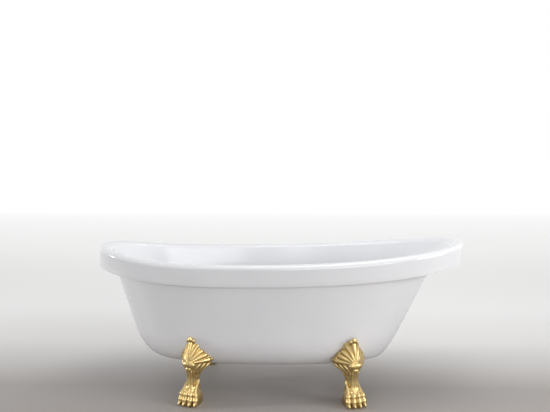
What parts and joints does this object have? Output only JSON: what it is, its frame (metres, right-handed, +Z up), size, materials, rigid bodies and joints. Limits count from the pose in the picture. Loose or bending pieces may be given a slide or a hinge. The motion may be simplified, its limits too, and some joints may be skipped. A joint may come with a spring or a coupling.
{
  "type": "clawfoot bathtub",
  "caption": "Free-standing double-skinned slipper bath with a rolled rim and deep apron, standing on cast claw feet, with press-to-close waste and overflow.",
  "frame": {"origin": "on the floor under the middle of the rim's outline", "axes": "+X along the bath towards the raised slipper end, +Z up, -Y towards the viewer"},
  "size_m": [1.6999, 0.731, 0.6979],
  "materials": {
    "white_acrylic": "high gloss white acrylic",
    "gold_casting": "polished gold plate, darker in the hollows",
    "gold_fitting": "polished gold plate",
    "steel": "zinc plated",
    "board": "raw particle board",
    "rubber": "matt black",
    "pipe_plastic": "satin white moulding",
    "pad_nylon": "black nylon"
  },
  "bodies": {
    "tub": {"basin_shell": "white_acrylic", "outer_skirt": "white_acrylic", "base_board": "board", "cross_bar_low": "steel", "cross_bar_high": "steel", "foot_bolts": "steel", "foot_bolt_washers": "steel", "foot_bolt_nuts": "steel", "leveller_lock_nuts": "steel", "waste_flange": "gold_fitting", "waste_seal_upper": "rubber", "waste_seal_lower": "rubber", "waste_body": "pipe_plastic", "overflow_plate": "gold_fitting", "overflow_screw": "gold_fitting", "overflow_gasket": "rubber", "overflow_elbow": "pipe_plastic", "overflow_pipe": "pipe_plastic", "overflow_pipe_nuts": "pipe_plastic", "claw_foot_front_low": "gold_casting", "claw_foot_front_high": "gold_casting", "claw_foot_rear_low": "gold_casting", "claw_foot_rear_high": "gold_casting"},
    "plug": {"plug_cap": "gold_fitting", "plug_seal": "rubber", "plug_stem": "steel"},
    "leveller_pad_front_low": {"leveller_pad_front_low": "pad_nylon"},
    "leveller_screw_front_low": {"leveller_screw_front_low": "steel"},
    "leveller_pad_front_high": {"leveller_pad_front_high": "pad_nylon"},
    "leveller_screw_front_high": {"leveller_screw_front_high": "steel"},
    "leveller_pad_rear_low": {"leveller_pad_rear_low": "pad_nylon"},
    "leveller_screw_rear_low": {"leveller_screw_rear_low": "steel"},
    "leveller_pad_rear_high": {"leveller_pad_rear_high": "pad_nylon"},
    "leveller_screw_rear_high": {"leveller_screw_rear_high": "steel"}
  },
  "joints": [
    {"name": "plug_slide", "type": "slide", "parent": "tub", "child": "plug", "axis": [0, 0, 1], "range_m": [0, 0.009]},
    {"name": "leveller_front_low_slide", "type": "slide", "parent": "tub", "child": "leveller_pad_front_low", "axis": [0, 0, -1], "range_m": [0, 0.012]},
    {"name": "leveller_front_low_turn", "type": "hinge", "parent": "leveller_pad_front_low", "child": "leveller_screw_front_low", "pos_m": [-0.383, -0.3, 0.03], "axis": [0, 0, -1], "range_deg": [0, 2468]},
    {"name": "leveller_front_high_slide", "type": "slide", "parent": "tub", "child": "leveller_pad_front_high", "axis": [0, 0, -1], "range_m": [0, 0.012]},
    {"name": "leveller_front_high_turn", "type": "hinge", "parent": "leveller_pad_front_high", "child": "leveller_screw_front_high", "pos_m": [0.324, -0.3, 0.03], "axis": [0, 0, -1], "range_deg": [0, 2468]},
    {"name": "leveller_rear_low_slide", "type": "slide", "parent": "tub", "child": "leveller_pad_rear_low", "axis": [0, 0, -1], "range_m": [0, 0.012]},
    {"name": "leveller_rear_low_turn", "type": "hinge", "parent": "leveller_pad_rear_low", "child": "leveller_screw_rear_low", "pos_m": [-0.383, 0.3, 0.03], "axis": [0, 0, -1], "range_deg": [0, 2468]},
    {"name": "leveller_rear_high_slide", "type": "slide", "parent": "tub", "child": "leveller_pad_rear_high", "axis": [0, 0, -1], "range_m": [0, 0.012]},
    {"name": "leveller_rear_high_turn", "type": "hinge", "parent": "leveller_pad_rear_high", "child": "leveller_screw_rear_high", "pos_m": [0.324, 0.3, 0.03], "axis": [0, 0, -1], "range_deg": [0, 2468]}
  ],
  "couplings": [
    {"joint": "leveller_front_low_slide", "follows": "leveller_front_low_turn", "m_per_rad": 0.00027852},
    {"joint": "leveller_front_high_slide", "follows": "leveller_front_high_turn", "m_per_rad": 0.00027852},
    {"joint": "leveller_rear_low_slide", "follows": "leveller_rear_low_turn", "m_per_rad": 0.00027852},
    {"joint": "leveller_rear_high_slide", "follows": "leveller_rear_high_turn", "m_per_rad": 0.00027852}
  ]
}
